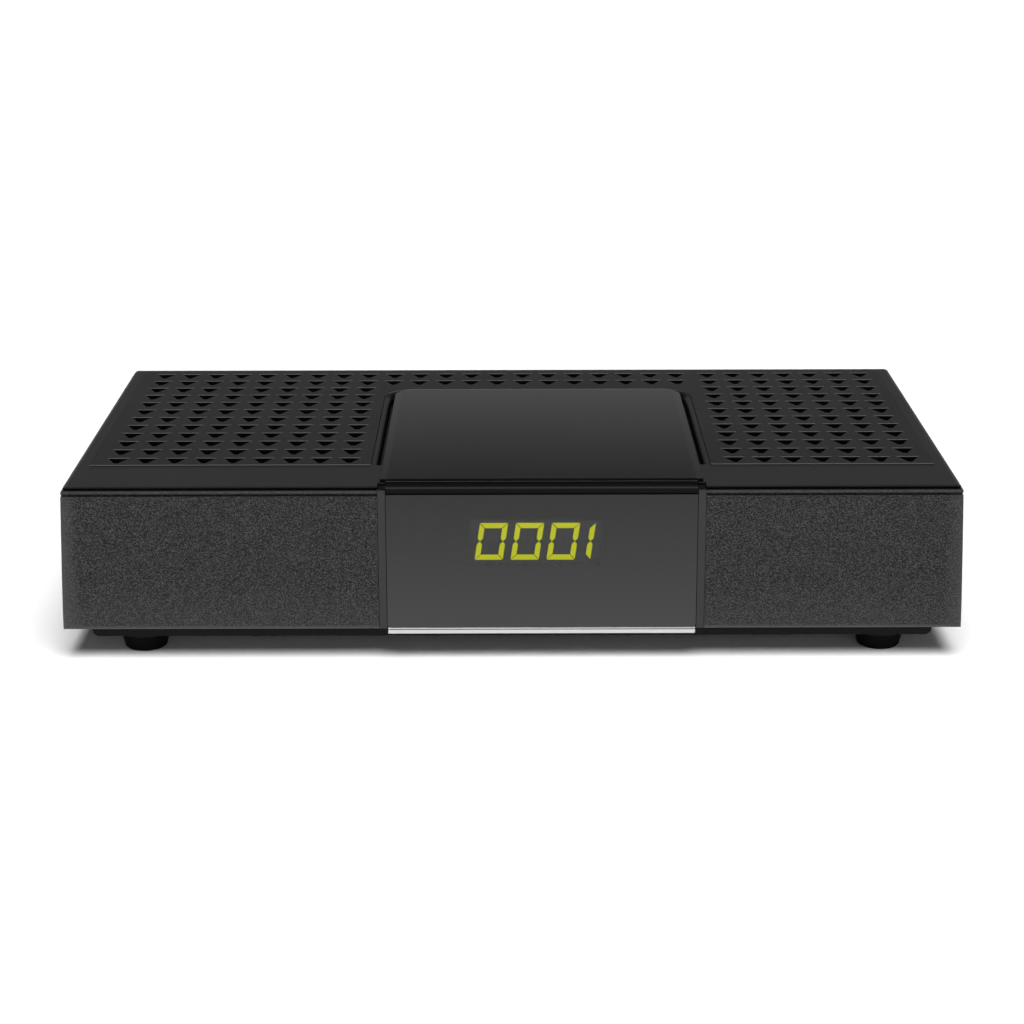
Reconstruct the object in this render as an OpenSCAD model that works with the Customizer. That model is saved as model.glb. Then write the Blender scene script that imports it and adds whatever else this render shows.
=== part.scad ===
// Compact satellite television receiver: a moulded housing with an inset vent grille of
// triangular holes, and a smoked front flap that hangs from a roll along its top edge.
// Millimetres. X runs to the right as seen from the front, Y to the back and Z up.
// The origin is on the floor under the middle of the whole receiver, sockets included.
// Inside each module y is measured from the front face, and from_front() puts it in place.

/* [Housing] */
// Width of the housing at its lower edge
body_w = 220; // [218:0.5:222]
// Depth from the front face to the back edge of the side walls
body_d = 120; // [120:0.5:122]
// Height of the top cover's face above the floor
top_z = 44.4; // [44:0.1:44.6]
// Height of the lower edge of the side walls and the front panel
side_z = 8; // [7.9:0.1:8.1]
// Height of the housing's underside
base_z = 5.3; // [5.1:0.1:5.5]
// Wall thickness of the mouldings
wall = 2.2; // [2:0.1:2.4]
// How far each side leans in from its lower edge to the top
side_draft = 1.4; // [1:0.1:1.6]
// Radius of the cover's long top edges
edge_r = 1.5; // [1:0.1:2]

/* [Front panel and flap] */
// Thickness of the textured front panel
panel_t = 2.8; // [2.6:0.1:3]
// Width of the saddle, the smooth band that runs down the front and back over the top
saddle_w = 79.2; // [78:0.2:80]
// Offset of the saddle's middle to the right
saddle_x = 7.2; // [6.5:0.1:8]
// Width of the smooth strip down each side of the saddle
strip_w = 1.8; // [1.7:0.1:1.9]
// Radius of the hinge roll along the flap's top edge
roll_r = 1.8; // [1.7:0.05:1.9]
// Thickness of the smoked flap
flap_t = 2; // [1.8:0.1:2.2]
// Height of the silver finger bar under the flap
bar_h = 1.7; // [1.5:0.1:1.8]
// Distance from the front face to the recessed panel behind the flap
recess_d = 9; // [8.8:0.1:9.2]

/* [Gloss lid] */
// How far the lid stands above the top cover
lid_rise = 0.8; // [0.6:0.1:0.9]
// Distance from the front face to the lid's back edge
lid_back = 93.5; // [90:0.5:94]
// Radius of the lid's two back corners
lid_corner_r = 5.5; // [4:0.5:7]
// How far the lid's rails stand in from the outer edges of the front strips
rail_inset = 0.5; // [0.4:0.05:0.6]
// Width of the dark trough round the lid, from a rail to the vent grille
trough_w = 2.9; // [2.6:0.1:2.9]
// Width of the slot at the bottom of the trough
slot_w = 1.1; // [0.9:0.1:1.1]

/* [Vent grille] */
// Base of one triangular hole, on the side away from the front
hole_w = 5.7; // [4.5:0.1:5.8]
// Depth of one triangular hole, from its base to its blunt point
hole_d = 5.1; // [4.5:0.1:5.2]
// Spacing of the holes from side to side
pitch_x = 7.25; // [7.1:0.01:7.26]
// Spacing of the holes from front to back
pitch_y = 8.1; // [7.8:0.01:8.14]
// Number of rows from front to back
vent_rows = 12; // [10:1:12]

/* [Display and keys] */
// Height of one display digit
digit_h = 9.4; // [8.6:0.1:9.8]
// Width of one display digit
digit_w = 6.9; // [6.2:0.1:7.2]
// Spacing of the digits
digit_pitch = 8.85; // [8.7:0.05:9]
// Travel of a front key
key_travel = 0.5; // [0.4:0.05:0.6]

/* [Rear sockets] */
// How far the antenna sockets stand out behind the side walls
socket_reach = 10; // [9.5:0.5:10.5]
// Outer radius of an antenna socket's thread
antenna_r = 4.76; // [4.7:0.01:4.8]
// Outer radius of a phono socket's sleeve
phono_r = 4.15; // [4.1:0.01:4.2]
// Angle that the power rocker turns through
rocker_throw = 20; // [16:1:22]

/* [Feet] */
// Height of a rubber foot
foot_h = 4.4; // [4.2:0.1:4.6]
// Distance of the feet from the middle, left and right
foot_x = 91.5; // [88:0.5:93]

/* [Hidden] */
$fn = 96;

eps = 0.01;
front_y = -(body_d + socket_reach) / 2;
inner_w = body_w - 2 * (wall + side_draft);
roof_z = top_z - wall;
lip_t = 1;
lip_edge = 0.35;
lip_y = 0.4;
bead_r = 0.35;
groove_h = 0.55;
groove_d = 0.9;
panel_top = top_z - lip_t - 0.15;

// Saddle, lid and flap
saddle_left = saddle_x - saddle_w / 2;
window_w = saddle_w - 2 * strip_w;
opening_w = saddle_w + 0.2;
pocket_w = opening_w + 2 * strip_w;
lid_top = top_z + lid_rise;
lid_front = 3.9;
lid_w = saddle_w - 2 * rail_inset;
rail_w = 1.6;
nose_inset = 0.3;
channel_t = 2;
shoulder_r = trough_w - slot_w;
channel_z = top_z - shoulder_r;
carrier_z = lid_top - 1.8;
hinge_y = roll_r;
hinge_z = lid_top - roll_r;
roll_w = saddle_w - 4;
pin_r = 0.5;
pin_bore_r = 0.55;
pin_len = 1.2;
bar_z = side_z - 1.1;
window_z = bar_z + bar_h;

// Vent grille
grille_w = 209.8;
grille_front = 19.2;
grille_back = 117.2;
grille_t = 1.2;
grille_rise = 0.2;
grille_z = top_z + grille_rise - grille_t;
hole_tip = 0.9;
first_row_y = 25.8;
left_col_x = -40.4;
right_col_x = 55.6;
left_cols = 9;
right_cols = 7;
back_col_x = -33.1;
back_cols = 12;
back_rows = 2;
ledge_w = 2;
rib_w = 1.4;
rib_d = 2;

// Boards and sockets
board_z = 12;
board_t = 1.6;
board_top = board_z + board_t;
board_w = 200;
board_front = 20;
board_back = 116;
front_board_y = 17;
rear_y = body_d - 2.4;
rear_t = 1.2;
rear_out = rear_y + rear_t;
pan_w = 206.4;
pan_front = 3.4;
pan_back = body_d - 0.8;
pan_wall = 1.8;
pan_rim_z = 10;
antenna_x = [-91, -71];
antenna_z = 24;
scart_x = -28;
hdmi_x = 12;
phono_x = [31, 45, 59];
phono_z = 21;
phono_end = 128;
dc_x = 76;
dc_z = board_top + 5.5;
rocker_x = 97;
rocker_z = 24;
rocker_r = 5.5;
rocker_y = rear_out - 0.4;
boss_places = [[-76, 13.5], [76, 13.5], [-56.5, 108], [87, 100.3]];
standoff_places = [[-94, 34], [94, 34], [-40, 60], [66, 60]];
foot_y = [12, 108];

// Recessed panel behind the flap: keys from left to right, display and remote sensor
key_x = [-9.4, 7.2, 23.8];
key_z = 16;
key_w = 10.6;
key_h = 4.6;
fascia_t = 1.8;
key_flange_y = recess_d + fascia_t + 0.1;
key_stem_end = key_flange_y + 2.9;
fascia_z = side_z + 0.1;
fascia_top = channel_z - channel_t - 0.2;
display_x = 5.7;
display_z = 27.7;
display_w = 34;
display_h = 13;
digit_shift = 2.5;
one_shift = 5;
bar_t = 1.25;
bar_gap = 0.16;
sensor_x = -22;
sensor_z = 27.6;

housing_black = "#232323";
gloss_black = "#111111";
metal = "#b8bbbe";

// ---- helpers ----

module from_front() {
  translate([0, front_y, 0]) children();
}

// Extrudes an outline drawn in (x, z) from y0 to the back.
module along_y(y0, length) {
  translate([0, y0 + length, 0]) rotate([90, 0, 0]) linear_extrude(length) children();
}

// Extrudes an outline drawn in (y, z) from x0 to the right.
module along_x(x0, length) {
  translate([x0, 0, 0]) rotate([90, 0, 90]) linear_extrude(length) children();
}

// Extrudes an outline drawn in (x, y) upwards from z0.
module upwards(z0, height) {
  translate([0, 0, z0]) linear_extrude(height) children();
}

// Block with its middle at x, from y0 and z0.
module block(x, y0, z0, w, d, h) {
  translate([x - w / 2, y0, z0]) cube([w, d, h]);
}

// Round bar along Y.
module rod_y(x, y0, z, r, length) {
  translate([x, y0, z]) rotate([-90, 0, 0]) cylinder(r = r, h = length);
}

// Round bar along X.
module rod_x(x0, y, z, r, length) {
  translate([x0, y, z]) rotate([0, 90, 0]) cylinder(r = r, h = length);
}

// Rectangle with all four corners rounded, from its lower left corner.
module rounded(w, h, r) {
  translate([r, 0]) square([w - 2 * r, h]);
  translate([0, r]) square([w, h - 2 * r]);
  for (x = [r, w - r], y = [r, h - r]) translate([x, y]) circle(r);
}

// Rectangle with only the two corners at its far side rounded.
module rounded_far(w, h, r) {
  square([w, h - r]);
  translate([r, 0]) square([w - 2 * r, h]);
  for (x = [r, w - r]) translate([x, h - r]) circle(r);
}

// ---- housing ----

// Front view of the cover: sides that lean in a little, and rounded top edges.
module cover_outline() {
  lean = atan(side_draft / (top_z - side_z));
  corner_z = top_z - edge_r;
  side_rise = corner_z + edge_r * sin(lean) - side_z;
  corner_x = body_w / 2 - edge_r * cos(lean) - side_rise * tan(lean);
  tangent = [corner_x + edge_r * cos(lean), corner_z + edge_r * sin(lean)];
  polygon([[-body_w / 2, side_z], [body_w / 2, side_z], tangent, [corner_x, top_z],
           [-corner_x, top_z], [-tangent[0], tangent[1]]]);
  for (side = [-1, 1]) translate([side * corner_x, corner_z]) circle(edge_r);
}

// Plan of the lid with its rails, from the front edge to the rounded back corners.
module lid_plan(inset) {
  translate([saddle_x - lid_w / 2 + inset, lid_front])
    rounded_far(lid_w - 2 * inset, lid_back - lid_front - inset * 0.4, lid_corner_r - inset * 0.4);
}

// Plan that stands off from the lid's sides and back by a margin.
module round_lid_plan(margin) {
  translate([saddle_x - lid_w / 2 - margin, 0])
    rounded_far(lid_w + 2 * margin, lid_back + margin, lid_corner_r + margin);
}

// Section of what is cut away above the trough's rounded shoulder, from just inside the
// slot outwards.
module shoulder_section() {
  lap = 0.05;
  difference() {
    translate([-lap, 0]) square([shoulder_r + lap, shoulder_r + 1]);
    translate([shoulder_r, 0]) circle(shoulder_r);
  }
}

// Trough round the lid: a slot beside the rails, and a rounded shoulder up to the grille.
module trough() {
  slot_x = lid_w / 2 + slot_w;
  corner_x = lid_w / 2 - lid_corner_r;
  corner_y = lid_back - lid_corner_r;
  translate([saddle_x, 0, channel_z]) {
    for (side = [0, 1]) mirror([side, 0, 0]) {
      along_y(grille_front, corner_y - grille_front) translate([slot_x, 0]) shoulder_section();
      translate([corner_x, corner_y, 0]) rotate_extrude(angle = 90)
        translate([lid_corner_r + slot_w, 0]) shoulder_section();
    }
    along_x(-corner_x, 2 * corner_x) translate([lid_back + slot_w, 0]) shoulder_section();
  }
  upwards(channel_z, 5) intersection() {
    round_lid_plan(slot_w);
    translate([-body_w / 2, grille_front]) square([body_w, body_d]);
  }
}

// Plan of the grille: a plate that is cut away round the lid and its trough.
module grille_plan(inset) {
  difference() {
    translate([-grille_w / 2 + inset, grille_front + inset])
      square([grille_w - 2 * inset, grille_back - grille_front - 2 * inset]);
    round_lid_plan(trough_w + inset);
  }
}

// Openings under the grille, two holes by two, with ribs between them that carry it.
module rib_windows() {
  first_y = first_row_y - hole_d - (pitch_y - hole_d) / 2;
  left_x = [for (k = [-5 : 5]) left_col_x + pitch_x / 2 + 2 * k * pitch_x];
  right_x = [for (k = [0 : 3]) right_col_x - pitch_x / 2 + 2 * k * pitch_x];
  difference() {
    intersection() {
      grille_plan(ledge_w);
      for (x = concat(left_x, right_x), j = [0 : 5])
        translate([x + rib_w / 2, first_y + 2 * j * pitch_y + rib_w / 2])
          square([2 * pitch_x - rib_w, 2 * pitch_y - rib_w]);
    }
    for (p = boss_places) translate(p) circle(5);
  }
}

// Side view of the cover's front lip. It thins out to the front, which leaves a dark gap
// between it and the front panel.
module lip_profile() {
  root_y = panel_t + 0.5;
  polygon([[lip_y, top_z], [lip_y, top_z - lip_edge], [root_y, top_z - lip_t],
           [root_y + 1, top_z - lip_t], [root_y + 1, top_z]]);
}

module screw_tower(place) {
  translate([place[0], place[1], pan_rim_z]) cylinder(r = 3.5, h = roof_z - pan_rim_z + eps);
}

module top_cover() color(housing_black) from_front() {
  difference() {
    union() {
      along_y(panel_t + 0.4, body_d - panel_t - 0.4) difference() {
        cover_outline();
        translate([-inner_w / 2, side_z - 1]) square([inner_w, roof_z - side_z + 1]);
      }
      intersection() {
        along_y(lip_y, panel_t + 1) cover_outline();
        along_x(-body_w / 2, body_w) lip_profile();
      }
      block(saddle_x, lid_front + 0.1, channel_z - channel_t, lid_w + 2 * (trough_w + wall),
            lid_back + trough_w + wall - lid_front - 0.1, roof_z - channel_z + channel_t + eps);
      upwards(roof_z - rib_d, rib_d + eps) grille_plan(ledge_w - rib_w);
      for (p = boss_places) screw_tower(p);
    }
    // Channel that the lid lies in. From the grille on, a trough runs round the lid.
    block(saddle_x, -1, channel_z, lid_w + 0.1, grille_front + 2, 5);
    trough();
    // Notch in the front edge for the flap's roll.
    block(saddle_x, -1, channel_z - channel_t - 1, saddle_w + 0.1, lid_front + 1.1, 10);
    // Seat of the grille, and the openings under it.
    upwards(grille_z, 5) grille_plan(0);
    upwards(roof_z - 5, 10) rib_windows();
    for (p = boss_places)
      translate([p[0], p[1], pan_rim_z - 1]) cylinder(r = 1.5, h = 14);
  }
}

// One triangular hole: base away from the front, blunt point towards it.
module vent_triangle() {
  polygon([[-hole_w / 2, 0], [hole_w / 2, 0], [hole_tip / 2, -hole_d], [-hole_tip / 2, -hole_d]]);
}

function row_y(row) = first_row_y + row * pitch_y;

module vent_holes() {
  for (row = [0 : vent_rows - 1]) {
    for (col = [0 : left_cols - 1]) translate([left_col_x - col * pitch_x, row_y(row)]) vent_triangle();
    for (col = [0 : right_cols - 1]) translate([right_col_x + col * pitch_x, row_y(row)]) vent_triangle();
  }
  for (row = [vent_rows - back_rows : vent_rows - 1], col = [0 : back_cols - 1])
    translate([back_col_x + col * pitch_x, row_y(row)]) vent_triangle();
}

module vent_grille() color("#2b2b2b") from_front() {
  upwards(grille_z, grille_t) difference() {
    grille_plan(0.15);
    vent_holes();
  }
}

// Under view of the pan, with a rim that the side walls stand round.
module base_shell() color("#1c1c1c") from_front() {
  pan_d = pan_back - pan_front;
  difference() {
    union() {
      along_y(pan_front, pan_d) translate([-pan_w / 2, base_z]) union() {
        rounded(pan_w, 4, 1.6);
        translate([0, 2]) square([pan_w, pan_rim_z - base_z - 2]);
      }
      block(0, pan_front, side_z + 0.2, inner_w - 0.2, pan_d, pan_rim_z - side_z - 0.2);
      for (x = [-foot_x, foot_x], y = foot_y)
        translate([x, y, foot_h]) cylinder(r = 7.3, h = base_z - foot_h + 1);
    }
    translate([-pan_w / 2 + pan_wall, pan_front + pan_wall, base_z + pan_wall])
      cube([pan_w - 2 * pan_wall, pan_d - 2 * pan_wall, 10]);
    // Room for the sill behind the flap.
    block(saddle_x, pan_front - 1, side_z - 0.1, pocket_w + 0.4, pan_wall + 2, 3);
    // Air slots in the floor.
    for (i = [-9 : 9], y = [36, 76]) block(i * 7, y, base_z - 1, 2.6, 26, 4);
    for (p = boss_places) translate([p[0], p[1], base_z - 1]) cylinder(r = 3.6, h = 4);
  }
  // Towers for the board and the case screws.
  for (p = standoff_places) difference() {
    translate([p[0], p[1], base_z + pan_wall - eps]) cylinder(r = 3, h = board_z - base_z - pan_wall + eps);
    translate([p[0], p[1], base_z + pan_wall + 1]) cylinder(r = 1.3, h = 10);
  }
  for (p = boss_places) difference() {
    translate([p[0], p[1], base_z + eps]) cylinder(r = 5.2, h = pan_rim_z - base_z - eps);
    translate([p[0], p[1], base_z - 1]) cylinder(r = 3.4, h = 3);
    translate([p[0], p[1], base_z - 1]) cylinder(r = 1.7, h = 10);
  }
}

// Side view of the front panel: a bead along its top edge with a fine groove under it,
// and a rounded lower edge.
module panel_profile() {
  low_r = 1.2;
  face_top = panel_top - 2 * bead_r - groove_h;
  translate([0, side_z + low_r]) square([panel_t, face_top - side_z - low_r]);
  translate([low_r, side_z]) square([panel_t - low_r, low_r + 1]);
  translate([low_r, side_z + low_r]) circle(low_r);
  translate([groove_d, face_top - 1]) square([panel_t - groove_d, panel_top - face_top + 1]);
  translate([bead_r, panel_top - 2 * bead_r]) square([panel_t - bead_r, 2 * bead_r]);
  translate([bead_r, panel_top - bead_r]) circle(bead_r);
}

module front_panel() color("#303030") from_front() {
  difference() {
    intersection() {
      along_y(0, panel_t) cover_outline();
      along_x(-body_w / 2 - 1, body_w + 2) panel_profile();
      upwards(0, top_z) translate([-body_w / 2, 0]) mirror([0, 1]) translate([0, -panel_t])
        rounded_far(body_w, panel_t, 1.5);
    }
    block(saddle_x, -1, side_z - 1, opening_w, panel_t + 2, top_z);
  }
  // Walls and sill of the pocket behind the flap, which join the two cheeks.
  for (side = [-1, 1])
    block(saddle_x + side * (opening_w + strip_w) / 2, panel_t - eps, side_z,
          strip_w, recess_d - panel_t + eps, fascia_top - side_z);
  block(saddle_x, panel_t + 0.1, side_z, pocket_w, recess_d - panel_t - 0.1, 1.5);
  // Tongues that locate the panel inside the side walls, and hooks under the roof.
  for (side = [-1, 1]) {
    block(side * (inner_w / 2 - 1.1), panel_t - eps, pan_rim_z + 1, 1.8, 6, 29);
    for (x = [52, 80]) block(side * x + (side > 0 ? 8 : 0), panel_t - eps, 38.2, 10, 6, 1.6);
  }
}

// Side view of the leg that runs down the front.
module leg_profile() {
  leg_r = 0.4;
  leg_z = side_z + 0.3;
  translate([leg_r, leg_z]) square([panel_t - leg_r, panel_top - leg_z]);
  translate([0, leg_z]) square([panel_t, panel_top - leg_z - leg_r]);
  translate([leg_r, panel_top - leg_r]) circle(leg_r);
  translate([panel_t - 1, side_z + 1.6]) square([recess_d - panel_t + 1, fascia_top - side_z - 1.6]);
}

// Side view of the nose that carries the hinge. It stands back behind the leg's face.
module nose_profile() {
  nose_y = 1;
  nose_r = 0.5;
  nose_z = hinge_z - 2;
  nose_top = lid_top - 0.4;
  translate([nose_y, nose_z]) square([lid_front - nose_y, nose_top - nose_r - nose_z]);
  translate([nose_y + nose_r, nose_z]) square([lid_front - nose_y - nose_r, nose_top - nose_z]);
  translate([nose_y + nose_r, nose_top - nose_r]) circle(nose_r);
}

module saddle_trim() color("#2a2a2a") from_front() {
  difference() {
    union() {
      translate([saddle_x, 0, 0]) for (side = [0, 1]) mirror([side, 0, 0]) {
        along_x(saddle_w / 2 - strip_w, strip_w) leg_profile();
        along_x(saddle_w / 2 - strip_w, strip_w - nose_inset) nose_profile();
        // Neck between the nose and the rail.
        along_x(saddle_w / 2 - strip_w, strip_w - rail_inset)
          translate([lid_front - 0.5, channel_z]) square([1, lid_top - 0.4 - channel_z]);
      }
      upwards(channel_z, carrier_z - channel_z) lid_plan(0);
      upwards(channel_z, lid_top - channel_z) difference() {
        lid_plan(0);
        lid_plan(rail_w);
      }
    }
    // Blind bores for the pins of the flap's roll.
    rod_x(saddle_left + strip_w - pin_len - 0.1, hinge_y, hinge_z, pin_bore_r,
          window_w + 2 * pin_len + 0.2);
  }
}

module gloss_lid() color(gloss_black) from_front() {
  edge = 0.35;
  intersection() {
    upwards(carrier_z, lid_top - carrier_z) lid_plan(rail_w);
    // Bevel along the front edge.
    along_x(-body_w / 2, body_w)
      polygon([[lid_front, carrier_z], [lid_back, carrier_z], [lid_back, lid_top],
               [lid_front + edge, lid_top], [lid_front, lid_top - edge]]);
  }
}

// ---- flap ----

module flap_roll() color(gloss_black) from_front() {
  roll_x = saddle_x - roll_w / 2;
  rod_x(roll_x, hinge_y, hinge_z, roll_r, roll_w);
  rod_x(saddle_left + strip_w - pin_len, hinge_y, hinge_z, pin_r, window_w + 2 * pin_len);
}

module flap_window() color("#202020") from_front() {
  flap_w = window_w - 0.3;
  difference() {
    along_y(0, flap_t) translate([saddle_x - flap_w / 2, window_z])
      mirror([0, 1]) translate([0, -(hinge_z - window_z)])
      rounded_far(flap_w, hinge_z - window_z, 1);
    rod_x(-body_w / 2, hinge_y, hinge_z, roll_r + eps, body_w);
    block(saddle_x, -1, hinge_z - roll_r * 0.6, body_w, flap_t + 2, roll_r);
  }
}

// Silver bar with rounded edges and ends, and a fine groove below its top edge.
module flap_bar() color("#c9c9c9") from_front() {
  bar_w = window_w - 0.3;
  bar_d = 2.4;
  difference() {
    intersection() {
      along_x(saddle_x - bar_w / 2, bar_w) translate([0, bar_z]) rounded(bar_d, bar_h, 0.3);
      upwards(bar_z - 1, bar_h + 2) translate([saddle_x - bar_w / 2, 0]) rounded(bar_w, bar_d, 0.7);
    }
    block(saddle_x, -1, bar_z + bar_h - 0.6, bar_w + 2, 1.2, 0.2);
  }
}

// ---- front assembly ----

module inner_fascia() color("#161616") from_front() {
  difference() {
    block(saddle_x, recess_d, fascia_z, pocket_w, fascia_t, fascia_top - fascia_z);
    block(display_x, recess_d - 1, display_z - display_h / 2, display_w, 5, display_h);
    for (x = key_x) block(x, recess_d - 1, key_z - key_h / 2 - 0.2, key_w + 0.4, 5, key_h + 0.4);
    rod_y(sensor_x, recess_d - 1, sensor_z, 3, 5);
  }
}

module display_module() color("#0d0d0d") from_front() {
  block(display_x, recess_d + 0.3, display_z - display_h / 2 + 0.1, display_w - 0.2,
        front_board_y - recess_d - 0.3, display_h - 0.2);
}

// Upper right bar of a seven-segment digit: mitred at the digit's corner, pointed at its middle.
module side_bar() {
  polygon([[digit_w / 2, digit_h / 2 - bar_gap], [digit_w / 2, bar_t / 2 + bar_gap],
           [(digit_w - bar_t) / 2, bar_gap / 2], [digit_w / 2 - bar_t, bar_t / 2 + bar_gap],
           [digit_w / 2 - bar_t, digit_h / 2 - bar_t - bar_gap]]);
}

// Top bar: mitred at both of the digit's corners.
module top_bar() {
  outer = digit_w / 2 - bar_gap;
  polygon([[-outer, digit_h / 2], [outer, digit_h / 2], [outer - bar_t, digit_h / 2 - bar_t],
           [-outer + bar_t, digit_h / 2 - bar_t]]);
}

module digit_one() {
  for (low = [0, 1]) mirror([0, low]) side_bar();
}

module digit_zero() {
  for (left = [0, 1]) mirror([left, 0]) digit_one();
  for (low = [0, 1]) mirror([0, low]) top_bar();
}

// The lit bars show 0001 and lean to the right. The one stands closer than its full pitch.
module display_digits() color("#b4b922") from_front() {
  slant = tan(8.4);
  along_y(recess_d, 0.3) translate([display_x + digit_shift, display_z])
    multmatrix([[1, slant, 0, 0], [0, 1, 0, 0], [0, 0, 1, 0], [0, 0, 0, 1]]) {
      for (i = [0 : 2]) translate([(i - 1.5) * digit_pitch, 0]) digit_zero();
      translate([1.5 * digit_pitch - one_shift, 0]) digit_one();
    }
}

module remote_sensor() color("#1a1012") from_front() {
  block(sensor_x, 12.5, sensor_z - 3.5, 6, front_board_y - 12.5, 7);
  rod_y(sensor_x, 11, sensor_z, 2.5, 1.6);
  translate([sensor_x, 11, sensor_z]) intersection() {
    sphere(2.5);
    rotate([90, 0, 0]) cylinder(r = 3, h = 3);
  }
}

// Key cap with a flange behind the panel and a stem that reaches into its switch.
module front_key(x) color("#3a3a3a") from_front() {
  cap_y = recess_d - 1.4;
  along_y(cap_y, key_flange_y + 0.2 - cap_y)
    translate([x - key_w / 2, key_z - key_h / 2]) rounded(key_w, key_h, 1);
  block(x, key_flange_y, key_z - key_h / 2 - 0.9, key_w + 1.6, 1, key_h + 1.8);
  rod_y(x, key_flange_y + 0.9, key_z, 1.6, key_stem_end - key_flange_y - 0.9);
}

// Switches behind the keys. Each takes its key's stem, with room for the key's travel.
module key_switches() color("#8c8f92") from_front() {
  body_y = 13.3;
  for (x = key_x) difference() {
    block(x, body_y, key_z - 3, 6, front_board_y - body_y, 6);
    rod_y(x, body_y - 1, key_z, 1.7, key_stem_end + key_travel + 0.2 - body_y + 1);
  }
}

module front_board() color("#1d5a38") from_front() {
  block(saddle_x, front_board_y, pan_rim_z + 1, 88, board_t, 28);
}

module board_header() color("#d9d2b8") from_front() {
  block(36, front_board_y + board_t, board_top, 22, 7, 8);
}

// ---- main board ----

module main_board() color("#1d5a38") from_front() {
  difference() {
    block(0, board_front, board_z, board_w, board_back - board_front, board_t);
    for (p = standoff_places) translate([p[0], p[1], board_z - 1]) cylinder(r = 1.6, h = 5);
    for (p = boss_places) translate([p[0], p[1], board_z - 1]) cylinder(r = 4.5, h = 5);
    for (side = [-1, 1]) block(side * 98, board_front - 1, board_z - 1, 12, 12, 5);
  }
}

module tuner_can() color(metal) from_front() {
  can_w = 38;
  can_y = 86;
  can_h = 19;
  block(-81, can_y, board_top, can_w, rear_y - can_y - 0.2, can_h);
  // Crimped lid.
  block(-81, can_y - 0.4, board_top + can_h - 4, can_w + 0.8, rear_y - can_y - 0.2, 4.4);
}

// Antenna socket: thread, hexagon nut and the socket's small centre hole.
module antenna_socket(x) color("#c9b36a") from_front() {
  difference() {
    union() {
      rod_y(x, rear_y - 0.2, antenna_z, antenna_r, body_d + socket_reach - rear_y + 0.2);
      translate([x, rear_out, antenna_z]) rotate([-90, 0, 0]) cylinder(r = 6.6, h = 2.2, $fn = 6);
    }
    rod_y(x, body_d + socket_reach - 8, antenna_z, 0.6, 9);
  }
}

module scart_outline(w, h, cut) {
  polygon([[-w / 2, -h / 2], [w / 2 - cut, -h / 2], [w / 2, -h / 2 + cut],
           [w / 2, h / 2], [-w / 2, h / 2]]);
}

module scart_socket() color("#101010") from_front() {
  socket_w = 47;
  socket_h = 14.6;
  socket_y = 104;
  out = 1.6;
  middle_z = board_top + socket_h / 2;
  difference() {
    block(scart_x, socket_y, board_top, socket_w, rear_out + out - socket_y, socket_h);
    // Groove for the plug's metal skirt.
    along_y(rear_out + out - 8, 9) translate([scart_x, middle_z]) difference() {
      scart_outline(42.6, 11.2, 4);
      scart_outline(39.6, 8.2, 3.4);
    }
    // Two rows of contact slots.
    for (i = [0 : 9], row = [-1, 1])
      block(scart_x + (i - 4.5) * 3.6, rear_out + out - 7, middle_z + row * 2.2 - 1.5, 0.9, 8, 3);
  }
}

module hdmi_socket() color(metal) from_front() {
  shell_w = 15;
  shell_h = 5.6;
  shell_y = 106;
  low = board_top;
  difference() {
    along_y(shell_y, rear_out + 0.6 - shell_y) translate([hdmi_x, low])
      polygon([[-shell_w / 2, shell_h], [shell_w / 2, shell_h], [shell_w / 2, 1.8],
               [shell_w / 2 - 1.6, 0], [-shell_w / 2 + 1.6, 0], [-shell_w / 2, 1.8]]);
    along_y(shell_y + 1, rear_out) translate([hdmi_x, low])
      polygon([[-7, 5.1], [7, 5.1], [7, 2], [5.6, 0.5], [-5.6, 0.5], [-7, 2]]);
  }
  block(hdmi_x, shell_y + 1 - eps, low + 2.6, 10.8, rear_out - shell_y - 1.4, 0.9);
}

// Phono socket: block on the board, coloured flange and the insulator inside its sleeve.
module phono_body(x) {
  difference() {
    union() {
      block(x, 105, board_top, 11, rear_y - 105, 13);
      rod_y(x, rear_y - eps, phono_z, 5.4, rear_out + 1.2 - rear_y);
      rod_y(x, rear_out, phono_z, phono_r - 0.5, phono_end - 1 - rear_out);
    }
    rod_y(x, phono_end - 10, phono_z, 1.65, 11);
  }
}

module phono_left() color("#e8e6e0") from_front() phono_body(phono_x[0]);
module phono_right() color("#b3202a") from_front() phono_body(phono_x[1]);
module phono_video() color("#d8b020") from_front() phono_body(phono_x[2]);

module phono_sleeves() color(metal) from_front() {
  sleeve_y = rear_out + 1.2;
  for (x = phono_x) difference() {
    rod_y(x, sleeve_y, phono_z, phono_r, phono_end - sleeve_y);
    rod_y(x, sleeve_y - 1, phono_z, phono_r - 0.5, phono_end - sleeve_y + 2);
  }
}

module dc_jack() color("#141414") from_front() {
  jack_y = 104.5;
  out = 1;
  difference() {
    union() {
      block(dc_x, jack_y, board_top, 9, rear_y - 0.1 - jack_y, 11);
      rod_y(dc_x, rear_y - 0.2, dc_z, 4.3, rear_out + out - rear_y + 0.2);
    }
    rod_y(dc_x, rear_out + out - 10, dc_z, 3, 11);
  }
  rod_y(dc_x, rear_out + out - 10.1, dc_z, 1, 9.4);
}

// ---- power switch ----

module power_switch_frame() color("#121212") from_front() {
  cavity_h = 2 * rocker_r + 0.6;
  cavity_w = 7;
  difference() {
    union() {
      block(rocker_x, rear_out, rocker_z - 8, 11, 1.4, 16);
      block(rocker_x, 108, rocker_z - 7, 9.4, rear_out - 108 + eps, 14);
    }
    block(rocker_x, rocker_y - rocker_r - 0.6, rocker_z - cavity_h / 2, cavity_w, 20, cavity_h);
    rod_x(rocker_x - 4.3, rocker_y, rocker_z, 1.05, 8.6);
  }
}

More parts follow.
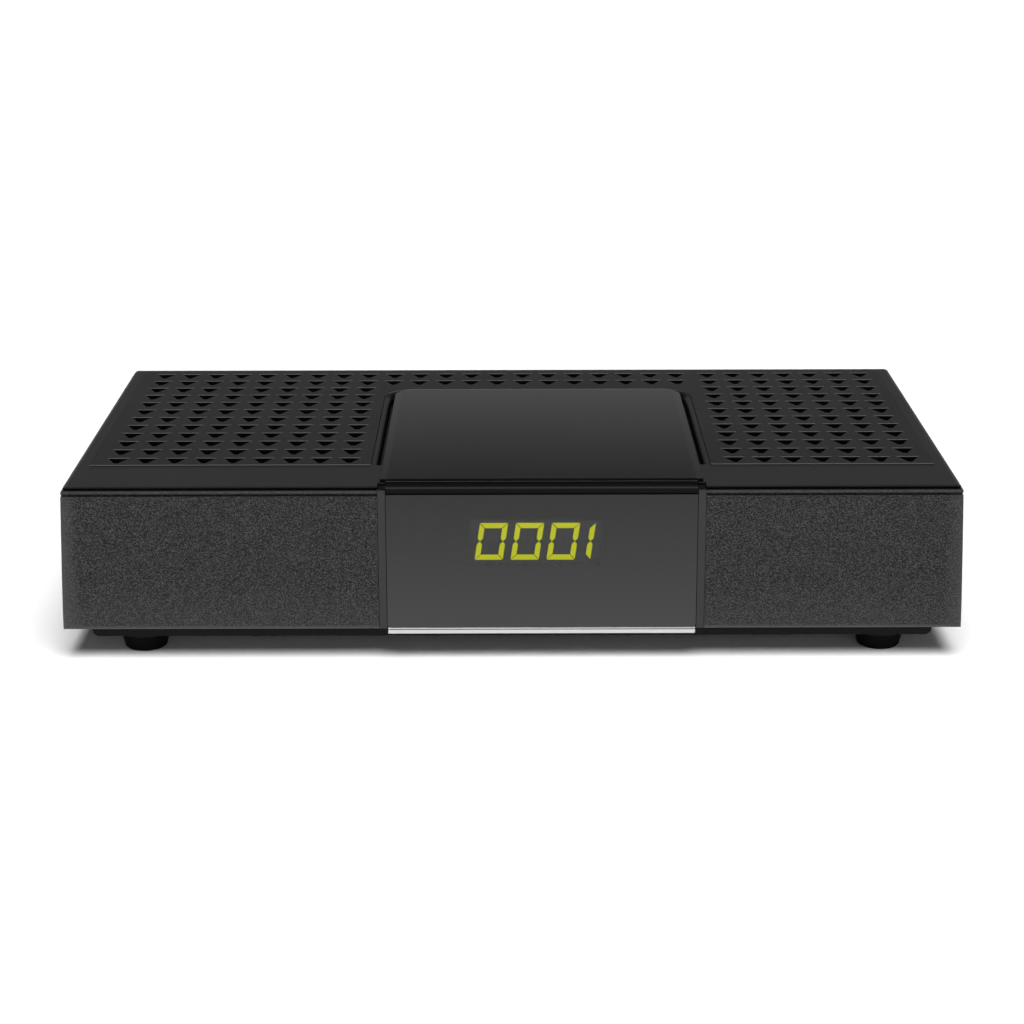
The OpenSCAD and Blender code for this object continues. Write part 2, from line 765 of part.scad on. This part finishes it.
// Side view of the rocker in its resting tilt: a round body with a shallow V on its face.
module rocker_profile() {
  rotate(-rocker_throw / 2) intersection() {
    circle(rocker_r);
    polygon([[-9, -9], [2.9, -9], [4.3, -5.4], [3.3, 0], [4.3, 5.4], [2.9, 9], [-9, 9]]);
  }
}

module power_rocker() color("#262626") from_front() {
  rocker_w = 6.4;
  along_x(rocker_x - rocker_w / 2, rocker_w) translate([rocker_y, rocker_z]) rocker_profile();
  rod_x(rocker_x - 4.1, rocker_y, rocker_z, 1, 8.2);
}

module rear_panel() color("#1e1e1e") from_front() {
  difference() {
    block(0, rear_y, pan_rim_z, inner_w - 0.2, rear_t, roof_z - pan_rim_z);
    for (x = antenna_x) rod_y(x, rear_y - 1, antenna_z, antenna_r + 0.3, 4);
    block(scart_x, rear_y - 1, board_top - 0.3, 47.6, 4, 15.2);
    block(hdmi_x, rear_y - 1, board_top - 0.3, 15.6, 4, 6.2);
    for (x = phono_x) rod_y(x, rear_y - 1, phono_z, 5.7, 4);
    rod_y(dc_x, rear_y - 1, dc_z, 4.6, 4);
    block(rocker_x, rear_y - 1, rocker_z - 7.2, 9.8, 4, 14.4);
    // Air slots under the roof.
    for (i = [0 : 19]) block(-8 + i * 4.4, rear_y - 1, 33, 2, 4, 5.5);
  }
}

// ---- small parts on the board ----

module decoder_chip() color("#1a1a1c") from_front() block(8, 52, board_top, 27, 27, 2.2);

module heat_sink() color("#8f959b") from_front() {
  fins = 9;
  foot = board_top + 2.2;
  block(8, 52, foot, 27, 27, 2);
  for (i = [0 : fins - 1]) block(8 - 12.9 + i * 25.8 / (fins - 1), 52, foot + 2 - eps, 1.2, 27, 9);
}

module memory_chips() color("#1a1a1c") from_front() {
  for (y = [54, 68]) block(38, y, board_top, 12, 9, 1.2);
  block(-22, 70, board_top, 12, 18, 1.2);
}

module crystal() color(metal) from_front() {
  upwards(board_top, 3.6) translate([-10, 44]) rounded(11, 4.6, 2.2);
}

module capacitors() color("#20304a") from_front() {
  places = [[76, 84, 5, 12], [62, 84, 4, 11], [84, 70, 4, 11],
            [-46, 92, 3.2, 8], [-52, 76, 3.2, 8], [24, 92, 3.2, 8]];
  for (p = places) translate([p[0], p[1], board_top]) cylinder(r = p[2], h = p[3]);
}

module inductors() color("#3c3c40") from_front() {
  for (p = [[70, 66], [56, 66]]) block(p[0], p[1], board_top, 9, 9, 5);
}

module regulators() color("#18181a") from_front() {
  for (p = [[52, 84], [44, 84]]) block(p[0], p[1], board_top, 5.2, 4, 1.6);
}

// Pan-head screw that points down from z.
module screw_down(place, z, r, length) {
  translate([place[0], place[1], z - length]) cylinder(r = r, h = length + eps);
  translate([place[0], place[1], z]) cylinder(r1 = r * 2.1, r2 = r * 1.6, h = r * 1.3);
}

module board_screws() color("#c0c0c0") from_front() {
  for (p = standoff_places) screw_down(p, board_top, 1.25, 4.5);
}

module case_screws() color("#4a4a4a") from_front() {
  for (p = boss_places) {
    translate([p[0], p[1], base_z + 0.4]) cylinder(r = 3, h = 1.6);
    translate([p[0], p[1], base_z + 0.4]) cylinder(r = 1.45, h = 14);
  }
}

// Rubber foot: a short cone with a rounded lower edge.
module foot(side, row) color("#0f0f0f") from_front() {
  top_r = 6.2;
  low_r = 5.1;
  round_r = 0.8;
  translate([side * foot_x, foot_y[row], 0]) {
    translate([0, 0, round_r]) cylinder(r1 = low_r + 0.2, r2 = top_r, h = foot_h - round_r);
    rotate_extrude() {
      square([low_r + 0.2 - round_r, round_r + eps]);
      intersection() {
        translate([low_r + 0.2 - round_r, round_r]) circle(round_r);
        square([low_r + 1, round_r + eps]);
      }
    }
  }
}

top_cover();
vent_grille();
base_shell();
front_panel();
saddle_trim();
gloss_lid();
flap_roll();
flap_window();
flap_bar();
inner_fascia();
display_module();
display_digits();
remote_sensor();
front_key(key_x[0]);  // key_standby
front_key(key_x[1]);  // key_channel_down
front_key(key_x[2]);  // key_channel_up
key_switches();
front_board();
board_header();
main_board();
tuner_can();
antenna_socket(antenna_x[0]);  // antenna_input
antenna_socket(antenna_x[1]);  // antenna_loop
scart_socket();
hdmi_socket();
phono_left();
phono_right();
phono_video();
phono_sleeves();
dc_jack();
power_switch_frame();
power_rocker();
rear_panel();
decoder_chip();
heat_sink();
memory_chips();
crystal();
capacitors();
inductors();
regulators();
board_screws();
case_screws();
foot(-1, 0);  // foot_front_left
foot(1, 0);  // foot_front_right
foot(-1, 1);  // foot_rear_left
foot(1, 1);  // foot_rear_right
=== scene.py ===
import math

import bpy
import numpy as np
from mathutils import Matrix, Vector


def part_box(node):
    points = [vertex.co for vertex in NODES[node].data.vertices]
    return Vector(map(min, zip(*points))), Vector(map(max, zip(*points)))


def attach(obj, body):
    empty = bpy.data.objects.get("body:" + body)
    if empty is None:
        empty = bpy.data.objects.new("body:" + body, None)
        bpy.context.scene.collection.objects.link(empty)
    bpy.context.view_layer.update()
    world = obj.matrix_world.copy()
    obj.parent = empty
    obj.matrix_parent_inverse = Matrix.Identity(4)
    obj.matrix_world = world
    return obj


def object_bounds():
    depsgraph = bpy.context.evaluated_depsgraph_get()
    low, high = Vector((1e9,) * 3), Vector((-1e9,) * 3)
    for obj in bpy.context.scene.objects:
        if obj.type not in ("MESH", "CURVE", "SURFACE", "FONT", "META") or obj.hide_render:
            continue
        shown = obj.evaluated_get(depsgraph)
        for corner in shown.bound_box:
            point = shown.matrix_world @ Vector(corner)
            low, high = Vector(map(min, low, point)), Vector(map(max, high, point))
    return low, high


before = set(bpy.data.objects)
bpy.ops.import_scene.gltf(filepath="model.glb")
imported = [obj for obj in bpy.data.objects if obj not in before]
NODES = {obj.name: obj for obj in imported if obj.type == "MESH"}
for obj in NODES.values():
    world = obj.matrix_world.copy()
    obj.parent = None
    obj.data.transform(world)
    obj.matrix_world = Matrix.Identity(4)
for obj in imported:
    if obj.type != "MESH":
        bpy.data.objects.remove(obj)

bl_info = {
    "name": "Satellite receiver finish",
    "version": (1, 0, 0),
    "blender": (4, 5, 0),
    "location": "3D View > Sidebar > Receiver",
    "description": "Finishes, fine details and studio for a compact satellite television receiver",
    "category": "Object",
}

MM = 0.001
CAD_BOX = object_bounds()
FRONT = CAD_BOX[0][1] / MM
BLACK_ABS = {"IOR": 1.5, "Specular IOR Level": 0.12}
PLASTIC = {"IOR": 1.5}
METAL = {"Metallic": 1.0}


# ---- nodes and meshes ----

def linear(code):
    """sRGB hex to a linear colour: the standard curve, c / 12.92 below 0.04045 and
    ((c + 0.055) / 1.055) ** 2.4 above it."""
    parts = (int(code[i:i + 2], 16) / 255 for i in (1, 3, 5))
    return (*(c / 12.92 if c <= 0.04045 else ((c + 0.055) / 1.055) ** 2.4 for c in parts), 1.0)


def add(tree, kind, inputs=None, **settings):
    """Adds one shader node. Settings are its properties; inputs are its sockets by name or
    number, each given a constant or the output socket that feeds it."""
    made = tree.nodes.new("ShaderNode" + kind)
    for key, value in settings.items():
        setattr(made, key, value)
    for key, value in (inputs or {}).items():
        if isinstance(value, bpy.types.NodeSocket):
            tree.links.new(value, made.inputs[key])
        else:
            made.inputs[key].default_value = value
    return made


def zone(tree, place, limits):
    """A factor from 0 to 1: the product of one linear step for each limit (axis, start, end),
    in millimetres, which is 0 at its start and 1 at its end."""
    split = add(tree, "SeparateXYZ", {0: place})
    factor = 1.0
    for axis, start, end in limits:
        step = add(tree, "MapRange", {"Value": split.outputs[axis], 1: start * MM, 2: end * MM})
        factor = add(tree, "Math", {0: step.outputs[0], 1: factor}, operation="MULTIPLY").outputs[0]
    return factor


# Moulded surfaces really have a grain under 0.1 mm, too fine to show in the render. It is drawn
# at 0.2 to 0.5 mm, as coarse as it needs to show.
def finish(name, colour, other, patch_mm, grain_mm, depth_mm, shader, rough, crest_highlight=None,
           zones=(), squash=1.0, alphas=()):
    """A material on Object coordinates: two close colours mixed in patches of patch_mm, a
    roughness between the two of rough that follows the same patches, and a grain of grain_mm
    that stands depth_mm high and is flatter by squash, with its crests, about a third of it, in
    a lighter colour that paints their highlight. Each zone is a colour and the limits it lies
    within, and each of alphas is an opacity and its limits."""
    mat = bpy.data.materials.new(name)
    mat.use_nodes = True
    tree = mat.node_tree
    tree.nodes.clear()
    place = add(tree, "TexCoord").outputs["Object"]
    patches = add(tree, "TexNoise", {"Vector": place, "Scale": 1 / (patch_mm * MM), "Detail": 3.0})
    tint = add(tree, "Mix", {0: patches.outputs["Fac"], 6: linear(colour), 7: linear(other)},
               data_type="RGBA").outputs[2]
    flat = add(tree, "Mapping", {"Vector": place, "Scale": (1, 1, squash)}).outputs[0]
    fine = add(tree, "TexNoise", {"Vector": flat, "Scale": 1 / (grain_mm * MM),
                                  "Detail": 2.0}).outputs["Fac"]
    relief = add(tree, "MapRange", {"Value": fine, 1: 0.45 if crest_highlight else 0.35, 2: 0.65}).outputs[0]
    for zone_colour, limits in zones:
        tint = add(tree, "Mix", {0: zone(tree, place, limits), 6: tint, 7: linear(zone_colour)},
                   data_type="RGBA").outputs[2]
    # The crests' lighter colour is a painted highlight, standing in for their glints.
    if crest_highlight:
        tint = add(tree, "Mix", {0: relief, 6: tint, 7: linear(crest_highlight)}, data_type="RGBA").outputs[2]
    bump = add(tree, "Bump", {"Height": relief, "Strength": 1.0, "Distance": depth_mm * MM})
    inputs = {"Base Color": tint, "Normal": bump.outputs["Normal"], **shader}
    inputs["Roughness"] = add(tree, "MapRange", {"Value": patches.outputs["Fac"], 3: rough[0],
                                                 4: rough[1]}).outputs[0]
    for alpha, limits in alphas:
        inputs["Alpha"] = add(tree, "Mix", {0: zone(tree, place, limits), 2: inputs.get("Alpha", 1.0),
                                            3: alpha}).outputs[0]
    coat = add(tree, "BsdfPrincipled", inputs)
    add(tree, "OutputMaterial", {"Surface": coat.outputs[0]})
    return mat


def dress(mat, names):
    """Puts one material on the CAD nodes whose names are listed with spaces between."""
    for name in names.split():
        mesh = NODES[name].data
        mesh.materials.clear()
        mesh.materials.append(mat)


def closed_surface(name, points, body, mat):
    """A new piece from a grid of points, shape (u, v, 3) in millimetres: each four neighbours
    make one face, and the last row and column join the first."""
    rows, cols = points.shape[:2]
    index = np.arange(rows * cols).reshape(rows, cols)
    index = np.vstack([index, index[:1]])
    index = np.hstack([index, index[:, :1]])
    quads = np.stack([index[:-1, :-1], index[1:, :-1], index[1:, 1:], index[:-1, 1:]], -1)
    mesh = bpy.data.meshes.new(name)
    mesh.from_pydata((points.reshape(-1, 3) * MM).tolist(), [], quads.reshape(-1, 4).tolist())
    mesh.materials.append(mat)
    mesh.shade_smooth()
    piece = bpy.data.objects.new(name, mesh)
    bpy.context.scene.collection.objects.link(piece)
    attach(piece, body)


def socket_thread(name, socket, mat):
    """Ridges of a 3/8-32 thread on an antenna socket's barrel, as a closed ring: the radius is
    root + height t, where t is a triangle wave of y / pitch - angle / turn that fades in and out
    over fade at the two ends, and the inner wall is a plain tube in the barrel."""
    low, high = (np.array(corner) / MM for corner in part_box(socket))
    middle, pitch = (low + high) / 2, 25.4 / 32
    root, height, bore, fade = 4.62, 0.36, 4.3, 0.8
    rows, cols = 86, 48
    y = np.linspace(high[1] - 8.9, high[1] - 0.4, rows)[:, None]
    angle = np.linspace(0, 2 * np.pi, cols, endpoint=False)[None, :]
    wave = 1 - np.abs(2 * ((y / pitch - angle / (2 * np.pi)) % 1) - 1)
    ends = np.clip((y - y[0]) / fade, 0, 1) * np.clip((y[-1] - y) / fade, 0, 1)
    radius = np.vstack([root + height * wave * ends, np.full((2, cols), bore)])
    y = np.vstack([y, y[-1:], y[:1]]) + 0 * angle
    points = np.stack([middle[0] + radius * np.cos(angle), y, middle[2] + radius * np.sin(angle)], -1)
    closed_surface(name, points, "receiver", mat)


# ---- sizes and colours that a user would change ----

class ReceiverHousing(bpy.types.PropertyGroup):
    cover_colour: bpy.props.StringProperty(
        name="Cover colour", description="Moulded top cover, sRGB hex", default="#1a1a1b")
    panel_colour: bpy.props.StringProperty(
        name="Panel colour", description="Grained front panel, sRGB hex", default="#171717")
    grain: bpy.props.FloatProperty(
        name="Grain", description="Spacing of the front panel's grain, mm", default=0.3,
        min=0.2, max=2)


class ReceiverStudio(bpy.types.PropertyGroup):
    key_light: bpy.props.FloatProperty(
        name="Key light", description="Strength of the soft light above the front", default=4.2,
        min=0, max=20)
    fill_light: bpy.props.FloatProperty(
        name="Fill light", description="Strength of the low light in front", default=0.35,
        min=0, max=5)
    floor_colour: bpy.props.StringProperty(
        name="Floor colour", description="Plain floor, sRGB hex", default="#f0f0f0")


# ---- operators ----

class RECEIVER_OT_housing(bpy.types.Operator):
    """Finish the cover, grille, base, panel and trim"""
    bl_idname = "receiver.housing"
    bl_label = "Housing"

    def execute(self, context):
        p = context.scene.receiver_housing
        cover_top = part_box("top_cover")[1][2] / MM
        grille_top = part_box("vent_grille")[1][2] / MM
        panel_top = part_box("front_panel")[1][2] / MM
        panel_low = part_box("front_panel")[0][2] / MM
        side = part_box("front_panel")[1][0] / MM
        # ABS, moulded in a tool with a fine spark-eroded surface: a soft even sheen. The
        # trough and the ribs under the grille, and the edge of the front lip, are drawn near
        # black, as dark as they lie in the photo's shade.
        in_seat = (("X", 105.4, 105), ("X", -105.4, -105), ("Y", FRONT + 18.9, FRONT + 19.1))
        satin = finish("satin_abs", p.cover_colour, "#1d1d1e", 30, 0.35, 0.003, BLACK_ABS,
                       (0.42, 0.5),
                       zones=(("#040404", (("Z", cover_top - 0.01, cover_top - 0.55), *in_seat)),
                              ("#121212", (("Y", FRONT + 0.75, FRONT + 0.6),))))
        # The same ABS on the grille, drawn darker than on the cover, a painted shade among the holes.
        # The rims of the plate and its holes are drawn lighter, a painted highlight where they catch
        # the light in the photo, and the hole walls under them near black, a painted shade.
        vented = finish("satin_abs_grille", "#131314", "#161617", 30, 0.35, 0.003, BLACK_ABS,
                        (0.42, 0.5),
                        zones=(("#6a6a6a", (("Z", grille_top - 0.01, grille_top - 0.03),)),
                               ("#040404", (("Z", grille_top - 0.14, grille_top - 0.24),))))
        # ABS, moulded in an etched tool: a leather-like grain. Its crests have a lighter colour, a
        # painted highlight in place of the glints, and it is drawn coarser than in the photo, as
        # coarse as it needs to show. The lower part, the lower edge, the two ends and the top bead
        # are drawn lighter in painted light, as the photo's light shows them.
        grained = finish("grained_abs", p.panel_colour, "#141414", 25, p.grain, 0.05, BLACK_ABS,
                         (0.4, 0.46), crest_highlight="#484848",
                         zones=(("#242424", (("Z", panel_low + 12, panel_low + 1),)),
                                ("#4e4e4e", (("Z", panel_low + 1.2, panel_low + 0.4),)),
                                ("#363636", (("X", side - 5, side - 0.4),)),
                                ("#3e3e3e", (("X", 5 - side, 0.4 - side),)),
                                ("#2c2c2c", (("Z", panel_top - 0.72, panel_top - 0.68),))),
                         squash=1.7)
        # ABS with a coarser, drier tool surface: dull, hardly any sheen.
        matte = finish("matte_abs", "#141414", "#181818", 30, 0.4, 0.01,
                       {"IOR": 1.5, "Specular IOR Level": 0.08}, (0.55, 0.65))
        # ABS from a polished tool, dark grey. The rails on top are drawn darker and the nose
        # under the roll black, because they lie in shade in the photo.
        smooth = finish("polished_abs", "#303030", "#333333", 30, 0.4, 0.0005,
                        {"IOR": 1.5, "Specular IOR Level": 0.1}, (0.12, 0.16),
                        zones=(("#0b0b0b", (("Z", panel_top, panel_top + 0.3),)),
                               ("#030303", (("Z", panel_top, panel_top + 0.1),
                                            ("Y", FRONT + 3.9, FRONT + 3.8)))))
        for mat, names in ((satin, "top_cover"), (vented, "vent_grille"), (matte, "base_shell"),
                           (grained, "front_panel"), (smooth, "saddle_trim")):
            dress(mat, names)
        return {"FINISHED"}


class RECEIVER_OT_flap(bpy.types.Operator):
    """Finish the gloss lid, the hinge roll, the smoked window and the silver bar"""
    bl_idname = "receiver.flap"
    bl_label = "Lid and flap"

    def execute(self, context):
        # Polished black plastic, mirror-like with faint polishing haze.
        gloss = finish("polished_black", "#0b0b0b", "#0d0d0d", 40, 3, 0.0003,
                       {"IOR": 1.5, "Specular IOR Level": 0.08}, (0.09, 0.12))
        # The same plastic on the roll, from a turned tool: its highlight is a little wider.
        turned = finish("turned_black", "#090909", "#0b0b0b", 40, 3, 0.0003,
                        {"IOR": 1.5, "Specular IOR Level": 0.06}, (0.26, 0.3))
        # Smoked polycarbonate, glossy dark grey, drawn a little lighter towards its lower edge as
        # painted light from the floor. Its front film is opaque but for a half clear place, and its
        # back is nearly clear. That place is 2.7 mm higher than the digits, because they stand 9 mm
        # behind it and are seen from above in the photo.
        low, high = (corner[2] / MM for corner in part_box("flap_window"))
        lit_low, lit_high = (np.array(corner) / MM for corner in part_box("display_digits"))
        display = (("X", lit_low[0] - 1.7, lit_low[0] - 0.4),
                   ("X", lit_high[0] + 1.7, lit_high[0] + 0.4),
                   ("Z", lit_low[2] + 1.2, lit_low[2] + 2.3),
                   ("Z", lit_high[2] + 4.2, lit_high[2] + 3.1))
        smoked = finish("smoked_polycarbonate", "#0c0c0c", "#0e0e0e", 40, 3, 0.0003,
                        {"IOR": 1.58, "Specular IOR Level": 0.35}, (0.1, 0.14),
                        zones=(("#2a2a2a", (("Z", high, low),)), ("#0c0c0c", display)),
                        alphas=((0.5, display), (0.15, (("Y", FRONT + 1.0, FRONT + 1.2),))))
        # Silver paint with fine flake on plastic, drawn bright on the top edge, a painted highlight,
        # and dull in the groove under it, a painted shade.
        bar_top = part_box("flap_bar")[1][2] / MM
        silver = finish("silver_paint", "#c8c8c8", "#d4d4d4", 2, 0.08, 0.002,
                        {"Metallic": 0.8}, (0.3, 0.38),
                        zones=(("#8a8a8a", (("Z", bar_top - 0.75, bar_top - 0.6),)),
                               ("#e6e6e6", (("Z", bar_top - 0.42, bar_top - 0.32),))))
        for mat, names in ((gloss, "gloss_lid"), (turned, "flap_roll"), (smoked, "flap_window"),
                           (silver, "flap_bar")):
            dress(mat, names)
        return {"FINISHED"}


class RECEIVER_OT_recess(bpy.types.Operator):
    """Finish the fascia, the display, the keys and the sensor behind the flap"""
    bl_idname = "receiver.recess"
    bl_label = "Behind the flap"

    def execute(self, context):
        # ABS, moulded in a matte tool: dry and dark.
        dull = {"IOR": 1.5, "Specular IOR Level": 0.3}
        dark = finish("matte_black_abs", "#161616", "#1a1a1a", 20, 0.4, 0.008, dull, (0.5, 0.6))
        # The display's face is a dark diffuser. It glows in a faint grey, a painted glow that gives
        # the clear place in the window the tone of the film around it.
        face = finish("grey_diffuser", "#161616", "#1a1a1a", 20, 0.4, 0.008,
                      {**dull, "Emission Color": linear("#505050"), "Emission Strength": 1.0},
                      (0.5, 0.6))
        # ABS keys and rocker with a finer, satin surface.
        keys = finish("satin_key_abs", "#333334", "#373738", 10, 0.3, 0.005,
                      {"IOR": 1.5, "Specular IOR Level": 0.45}, (0.35, 0.42))
        # Epoxy resin, dyed to pass infrared: deep red black under a glossy skin.
        resin = finish("dark_filter_resin", "#1c0d12", "#220f15", 5, 0.5, 0.001,
                       {"IOR": 1.55, "Coat Weight": 0.6}, (0.1, 0.15))
        # Moulded bars, lit from behind in yellow green.
        lit = finish("lit_diffuser", "#b4b922", "#bcc02a", 2, 0.2, 0.002,
                     {"IOR": 1.5, "Emission Color": linear("#b4b900"), "Emission Strength": 2.1},
                     (0.4, 0.5))
        for mat, names in ((dark, "inner_fascia"), (face, "display_module"),
                           (keys, "key_standby key_channel_down key_channel_up power_rocker"),
                           (resin, "remote_sensor"), (lit, "display_digits")):
            dress(mat, names)
        return {"FINISHED"}


class RECEIVER_OT_inside(bpy.types.Operator):
    """Finish the boards, their parts and the screws"""
    bl_idname = "receiver.inside"
    bl_label = "Inside"

    def execute(self, context):
        # Green solder resist on glass-epoxy board: even and half glossy.
        board = finish("solder_resist_green", "#0e3d22", "#145030", 3, 0.5, 0.01, PLASTIC, (0.25, 0.4))
        # Tin-plated steel, rolled: bright with a soft haze.
        tinned = finish("tin_plate", "#b9bcc0", "#c6c9cc", 4, 0.3, 0.003, METAL, (0.25, 0.38))
        # Epoxy, moulded round the chips: dull dark grey.
        epoxy = finish("moulded_epoxy", "#19191b", "#202022", 4, 0.2, 0.01, {"IOR": 1.55},
                       (0.5, 0.62))
        # Aluminium, extruded: pale and satin.
        alloy = finish("extruded_aluminium", "#b5b8bb", "#c0c3c6", 3, 0.2, 0.004, METAL, (0.32, 0.45))
        # PVC sleeve, shrunk over the cans: glossy dark blue.
        sleeve = finish("shrink_sleeve", "#141f3c", "#1a2748", 4, 1.0, 0.004, PLASTIC, (0.22, 0.3))
        # Undyed nylon, moulded: cream with a soft sheen.
        nylon = finish("natural_nylon", "#d9cfae", "#e2d9bb", 4, 0.5, 0.004, {"IOR": 1.53}, (0.4, 0.5))
        # Steel, blackened: dark with a low metal sheen.
        black = finish("blackened_steel", "#3a3a3c", "#454547", 1, 0.2, 0.003, METAL, (0.35, 0.5))
        # Rubber, moulded: deep black and dry.
        rubber = finish("moulded_rubber", "#040404", "#060606", 6, 0.3, 0.015,
                        {"IOR": 1.5, "Specular IOR Level": 0.08}, (0.7, 0.85))
        for mat, names in ((board, "main_board front_board"),
                           (tinned, "tuner_can key_switches crystal board_screws"),
                           (epoxy, "decoder_chip memory_chips inductors regulators"),
                           (alloy, "heat_sink"), (sleeve, "capacitors"), (nylon, "board_header"),
                           (black, "case_screws"),
                           (rubber, "foot_front_left foot_front_right foot_rear_left foot_rear_right")):
            dress(mat, names)
        return {"FINISHED"}


class RECEIVER_OT_rear(bpy.types.Operator):
    """Finish the rear panel and its sockets"""
    bl_idname = "receiver.rear"
    bl_label = "Rear side"

    def execute(self, context):
        # Steel, powder coated: dull black with a fine grain.
        plate = finish("powder_coated_steel", "#1f1f20", "#252526", 8, 0.35, 0.02, PLASTIC, (0.5, 0.62))
        # Brass under nickel: bright and slightly warm.
        nickel = finish("nickel_plate", "#b9b6ae", "#c6c3ba", 3, 0.2, 0.002, METAL, (0.2, 0.3))
        # Nylon filled with glass, moulded: dull black.
        nylon = finish("glass_filled_nylon", "#141414", "#1a1a1a", 5, 0.25, 0.01, {"IOR": 1.53},
                       (0.5, 0.6))
        for mat, names in ((plate, "rear_panel"),
                           (nickel, "antenna_input antenna_loop phono_sleeves hdmi_socket"),
                           (nylon, "scart_socket dc_jack power_switch_frame")):
            dress(mat, names)
        socket_thread("antenna_input_thread", "antenna_input", nickel)
        socket_thread("antenna_loop_thread", "antenna_loop", nickel)
        # Dyed plastic on the phono sockets: white, red and yellow, glossy.
        for name, colour, other in (("phono_left", "#d9d6cc", "#e3e0d6"),
                                    ("phono_right", "#a01822", "#ac1f2a"),
                                    ("phono_video", "#cfa41a", "#d9b02a")):
            dress(finish(name + "_plastic", colour, other, 4, 0.4, 0.003, PLASTIC, (0.25, 0.33)), name)
        return {"FINISHED"}


class RECEIVER_OT_stage(bpy.types.Operator):
    """Make the floor, the soft studio light and the camera"""
    bl_idname = "receiver.stage"
    bl_label = "Studio"

    def execute(self, context):
        scene = context.scene
        p = scene.receiver_studio
        scene.view_settings.view_transform = "Standard"
        # Flat emulsion paint on the floor: even and dry.
        floor = bpy.data.meshes.new("floor")
        reach = 12.0
        corners = [(-reach, -reach, 0), (reach, -reach, 0), (reach, reach, 0), (-reach, reach, 0)]
        floor.from_pydata(corners, [], [(0, 1, 2, 3)])
        floor.materials.append(finish("painted_floor", p.floor_colour, "#f2f2f2", 400, 2, 0.0,
                                      {"IOR": 1.45, "Specular IOR Level": 0.1}, (0.8, 0.9)))
        floor_object = bpy.data.objects.new("floor", floor)
        scene.collection.objects.link(floor_object)

        # A wide key light above the front, and a faint low fill that reaches under the base.
        for name, strength, width, tilt in (("key_light", p.key_light, 42, 28),
                                            ("fill_light", p.fill_light, 30, 75)):
            sun = bpy.data.lights.new(name, "SUN")
            sun.energy = strength
            sun.angle = math.radians(width)
            lamp = bpy.data.objects.new(name, sun)
            scene.collection.objects.link(lamp)
            lamp.rotation_euler = (math.radians(tilt), 0, math.radians(8))
            lamp.visible_glossy = False

        # A wide soft card in front, linked to the roll alone: it draws the line along it.
        card = bpy.data.lights.new("gloss_card", "AREA")
        card.shape, card.size, card.size_y, card.energy = "RECTANGLE", 1.6, 0.5, 22.0
        glint = bpy.data.objects.new("gloss_card", card)
        scene.collection.objects.link(glint)
        spot = Vector((0, -1.3, 0.68))
        glint.matrix_world = Matrix.Translation(spot) @ spot.to_track_quat("Z", "Y").to_matrix().to_4x4()
        glint.visible_diffuse = False
        roll_only = bpy.data.collections.new("roll_only")
        roll_only.objects.link(NODES["flap_roll"])
        glint.light_linking.receiver_collection = roll_only

        # The studio is bright near the floor and dark above, by the height of the direction. The
        # lid mirrors it, and the stops are set to give the lid its tones in the photo's view.
        world = bpy.data.worlds.new("studio")
        scene.world = world
        world.use_nodes = True
        tree = world.node_tree
        tree.nodes.clear()
        up = add(tree, "SeparateXYZ", {0: add(tree, "TexCoord").outputs["Generated"]}).outputs["Z"]
        ramp = add(tree, "ValToRGB", {0: up})
        stops = ((0.0, "#ffffff"), (0.2, "#d8d8d8"), (0.242, "#a8a8a8"), (0.277, "#585858"),
                 (0.31, "#101010"), (1.0, "#404040"))
        for position, colour in stops[:-2]:
            ramp.color_ramp.elements.new(position)
        for element, (position, colour) in zip(ramp.color_ramp.elements, stops):
            element.position = position
            element.color = linear(colour)
        glow = add(tree, "Background", {"Color": ramp.outputs[0], "Strength": 1.0})
        add(tree, "OutputWorld", {"Surface": glow.outputs[0]})

        # The photo's view: 0.62 m in front, 0.21 m up, looking down 16.86 degrees.
        lens = bpy.data.cameras.new("camera")
        lens.sensor_width = 36
        lens.lens = 2415.7 / 1024 * 36
        camera = bpy.data.objects.new("camera", lens)
        scene.collection.objects.link(camera)
        turn = (Matrix.Rotation(-0.00061, 4, "Z") @ Matrix.Rotation(math.pi / 2 - 0.29421, 4, "X")
                @ Matrix.Rotation(-0.00223, 4, "Z"))
        camera.matrix_world = Matrix.Translation(Vector((-0.33, -622.29, 206.88)) * MM) @ turn
        scene.camera = camera
        return {"FINISHED"}


class RECEIVER_PT_panel(bpy.types.Panel):
    """Lists the receiver's steps and their settings"""
    bl_label = "Receiver"
    bl_idname = "RECEIVER_PT_panel"
    bl_space_type = "VIEW_3D"
    bl_region_type = "UI"
    bl_category = "Receiver"

    def draw(self, context):
        for group in (context.scene.receiver_housing, context.scene.receiver_studio):
            for key in group.__annotations__:
                self.layout.prop(group, key)
        for step in STEPS:
            self.layout.operator(step.bl_idname)


STEPS = (RECEIVER_OT_stage, RECEIVER_OT_housing, RECEIVER_OT_flap, RECEIVER_OT_recess,
         RECEIVER_OT_inside, RECEIVER_OT_rear)
CLASSES = (ReceiverHousing, ReceiverStudio, *STEPS, RECEIVER_PT_panel)


def register():
    for cls in CLASSES:
        bpy.utils.register_class(cls)
    bpy.types.Scene.receiver_housing = bpy.props.PointerProperty(type=ReceiverHousing)
    bpy.types.Scene.receiver_studio = bpy.props.PointerProperty(type=ReceiverStudio)


def unregister():
    del bpy.types.Scene.receiver_studio
    del bpy.types.Scene.receiver_housing
    for cls in reversed(CLASSES):
        bpy.utils.unregister_class(cls)


def main():
    register()
    for step in STEPS:
        area, name = step.bl_idname.split(".")
        getattr(getattr(bpy.ops, area), name)()


if __name__ == "__main__":
    main()
